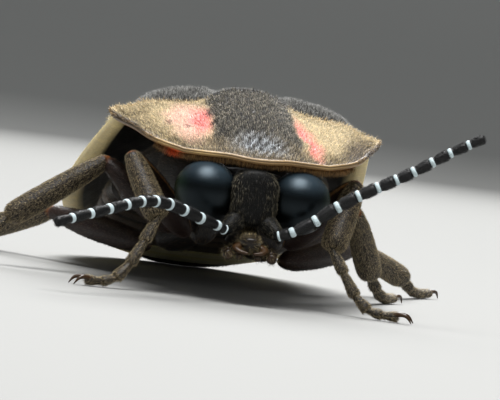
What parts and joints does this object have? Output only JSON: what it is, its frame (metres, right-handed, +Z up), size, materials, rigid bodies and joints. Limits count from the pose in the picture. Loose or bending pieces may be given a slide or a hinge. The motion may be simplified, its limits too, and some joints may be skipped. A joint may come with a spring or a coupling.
{
  "type": "firefly",
  "caption": "Life-size still model of a firefly beetle, domed head shield over large eyes, beaded feelers and long ribbed wing covers, standing on its feet.",
  "frame": {"origin": "middle of the footprint on the ground", "axes": "+Z up, head towards -Y, +X to the animal's left"},
  "size_m": [0.0114, 0.0168, 0.0039],
  "materials": {
    "shield": "tan head shield with rose patches and a dark middle band",
    "elytra": "dark grey downy wing covers with pale margins",
    "head": "black head with short hairs",
    "eye": "glossy black compound eye",
    "mouth": "amber mouthparts",
    "antenna": "black downy feelers with pale rings",
    "leg": "dark brown hairy legs",
    "belly": "olive brown underside",
    "lantern": "pale cream light organ, unlit"
  },
  "bodies": {
    "root": {"pronotum": "shield", "prosternum": "belly", "head": "head", "eye_left": "eye", "eye_right": "eye", "mouthparts": "mouth", "antenna_left": "antenna", "antenna_right": "antenna", "scutellum": "elytra", "elytron_left": "elytra", "elytron_right": "elytra", "pterothorax": "belly", "abdomen": "belly", "lantern": "lantern", "abdomen_tip": "belly", "femur_front_right": "leg", "tibia_front_right": "leg", "tarsus_front_right": "leg", "femur_front_left": "leg", "tibia_front_left": "leg", "tarsus_front_left": "leg", "femur_middle_right": "leg", "tibia_middle_right": "leg", "tarsus_middle_right": "leg", "femur_middle_left": "leg", "tibia_middle_left": "leg", "tarsus_middle_left": "leg", "femur_hind_right": "leg", "tibia_hind_right": "leg", "tarsus_hind_right": "leg", "femur_hind_left": "leg", "tibia_hind_left": "leg", "tarsus_hind_left": "leg"}
  },
  "joints": []
}
